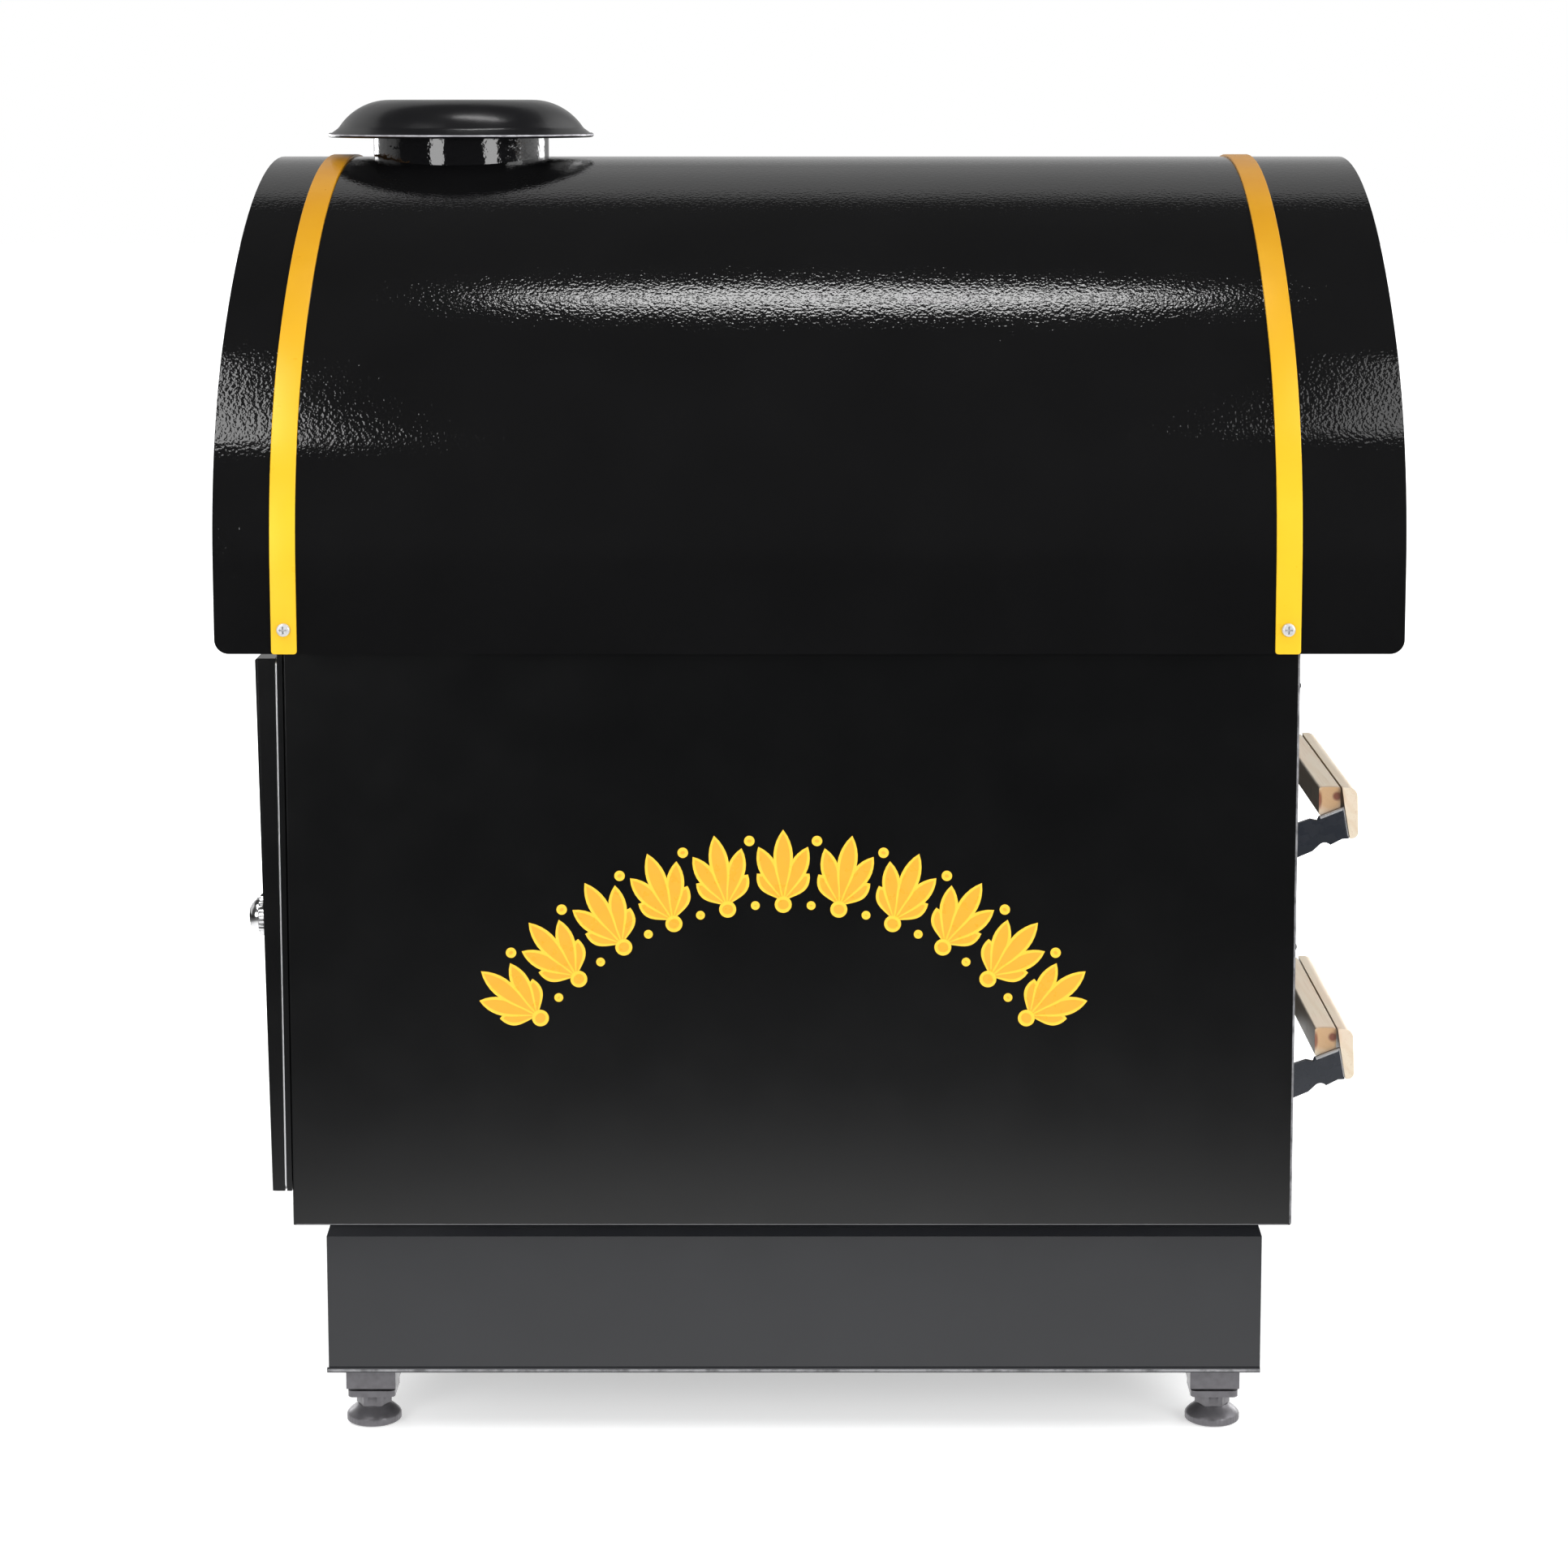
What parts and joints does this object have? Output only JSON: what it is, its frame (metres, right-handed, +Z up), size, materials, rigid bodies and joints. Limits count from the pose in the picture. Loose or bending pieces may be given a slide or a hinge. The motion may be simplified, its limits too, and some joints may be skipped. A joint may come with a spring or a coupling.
{
  "type": "baked potato oven",
  "caption": "Counter-top potato oven under a barrel roof: two ovens behind lift-up flap doors, a glazed display chamber above with sliding panes, a capped chimney and levelling feet.",
  "frame": {"origin": "on the floor under the middle of the barrel roof", "axes": "+Z up; +X along the barrel towards the doors and controls; +Y towards the far side, so the side shown square on is the -Y side"},
  "size_m": [0.5846, 0.5164, 0.669],
  "materials": {
    "black_coat": "glossy textured powder coat",
    "brass_trim": "polished",
    "bright_screws": "bright plated",
    "oven_steel": "satin",
    "foot_steel": "zinc plated",
    "rack_chrome": "bright plated wire",
    "element_sheath": "dark oxidised",
    "track_aluminium": "satin anodised",
    "clear_glass": "polished",
    "lamp_glass": "frosted",
    "grip_wood": "pale varnished",
    "bracket_steel": "dark satin",
    "black_plastic": "matt",
    "red_rocker": "gloss",
    "green_rocker": "gloss",
    "amber_lens": "translucent",
    "terminal_plastic": "matt",
    "mineral_wool": "fibrous"
  },
  "bodies": {
    "casing": {"roof_cover": "black_coat", "trim_straps": "brass_trim", "strap_screws": "bright_screws", "chimney_pipe": "black_coat", "chimney_cap": "black_coat", "cap_brackets": "oven_steel", "side_panel_near": "black_coat", "side_panel_far": "black_coat", "rear_wall": "black_coat", "rear_cover": "black_coat", "cover_nuts": "bright_screws", "display_frame": "black_coat", "display_glass": "clear_glass", "front_frame": "black_coat", "front_rails": "black_coat", "front_arch": "black_coat", "pane_tracks": "track_aluminium", "plinth_walls": "black_coat", "control_panel": "black_coat", "base_plate": "black_coat", "foot_plates": "oven_steel", "oven_decks": "oven_steel", "casing_floor": "oven_steel", "liner_walls": "oven_steel", "insulation": "mineral_wool", "heating_elements": "element_sheath", "rack_runners": "oven_steel", "wire_racks": "rack_chrome", "display_floor": "oven_steel", "display_tray": "oven_steel", "lamp_holder": "black_plastic", "lamp_tube": "lamp_glass", "thermostat_body": "black_plastic", "timer_body": "black_plastic", "switch_frames": "black_plastic", "pilot_lamps": "amber_lens", "terminal_block": "terminal_plastic", "cable_gland": "black_plastic", "hinge_leaves": "oven_steel", "hinge_pins": "oven_steel"},
    "upper_door": {"upper_door_hinge": "oven_steel", "upper_door_skin": "black_coat", "upper_door_liner": "oven_steel", "upper_handle_brackets": "bracket_steel", "upper_handle_grip": "grip_wood"},
    "lower_door": {"lower_door_hinge": "oven_steel", "lower_door_skin": "black_coat", "lower_door_liner": "oven_steel", "lower_handle_brackets": "bracket_steel", "lower_handle_grip": "grip_wood"},
    "thermostat_knob": {"thermostat_knob": "black_plastic"},
    "timer_knob": {"timer_knob": "black_plastic"},
    "main_rocker": {"main_rocker": "red_rocker"},
    "lamp_rocker": {"lamp_rocker": "green_rocker"},
    "near_pane": {"near_pane": "clear_glass"},
    "far_pane": {"far_pane": "clear_glass"},
    "rear_near_foot": {"rear_near_foot": "foot_steel"},
    "rear_far_foot": {"rear_far_foot": "foot_steel"},
    "front_near_foot": {"front_near_foot": "foot_steel"},
    "front_far_foot": {"front_far_foot": "foot_steel"}
  },
  "joints": [
    {"name": "upper_door_hinge_turn", "type": "hinge", "parent": "casing", "child": "upper_door", "pos_m": [0.2423, 0, 0.38], "axis": [0, -1, 0], "range_deg": [0, 95]},
    {"name": "lower_door_hinge_turn", "type": "hinge", "parent": "casing", "child": "lower_door", "pos_m": [0.2423, 0, 0.247], "axis": [0, -1, 0], "range_deg": [0, 95]},
    {"name": "thermostat_turn", "type": "hinge", "parent": "casing", "child": "thermostat_knob", "pos_m": [0.2266, 0.045, 0.072], "axis": [-1, 0, 0], "range_deg": [0, 270]},
    {"name": "timer_turn", "type": "hinge", "parent": "casing", "child": "timer_knob", "pos_m": [0.2266, -0.035, 0.072], "axis": [-1, 0, 0], "range_deg": [0, 300]},
    {"name": "main_rocker_tilt", "type": "hinge", "parent": "casing", "child": "main_rocker", "pos_m": [0.2215, 0.125, 0.072], "axis": [0, -1, 0], "range_deg": [0, 16]},
    {"name": "lamp_rocker_tilt", "type": "hinge", "parent": "casing", "child": "lamp_rocker", "pos_m": [0.2215, 0.165, 0.072], "axis": [0, -1, 0], "range_deg": [0, 16]},
    {"name": "near_pane_slide", "type": "slide", "parent": "casing", "child": "near_pane", "axis": [0, 1, 0], "range_m": [0, 0.18]},
    {"name": "far_pane_slide", "type": "slide", "parent": "casing", "child": "far_pane", "axis": [0, -1, 0], "range_m": [0, 0.18]},
    {"name": "rear_near_foot_screw", "type": "slide", "parent": "casing", "child": "rear_near_foot", "axis": [0, 0, -1], "range_m": [0, 0.012]},
    {"name": "rear_far_foot_screw", "type": "slide", "parent": "casing", "child": "rear_far_foot", "axis": [0, 0, -1], "range_m": [0, 0.012]},
    {"name": "front_near_foot_screw", "type": "slide", "parent": "casing", "child": "front_near_foot", "axis": [0, 0, -1], "range_m": [0, 0.012]},
    {"name": "front_far_foot_screw", "type": "slide", "parent": "casing", "child": "front_far_foot", "axis": [0, 0, -1], "range_m": [0, 0.012]}
  ]
}
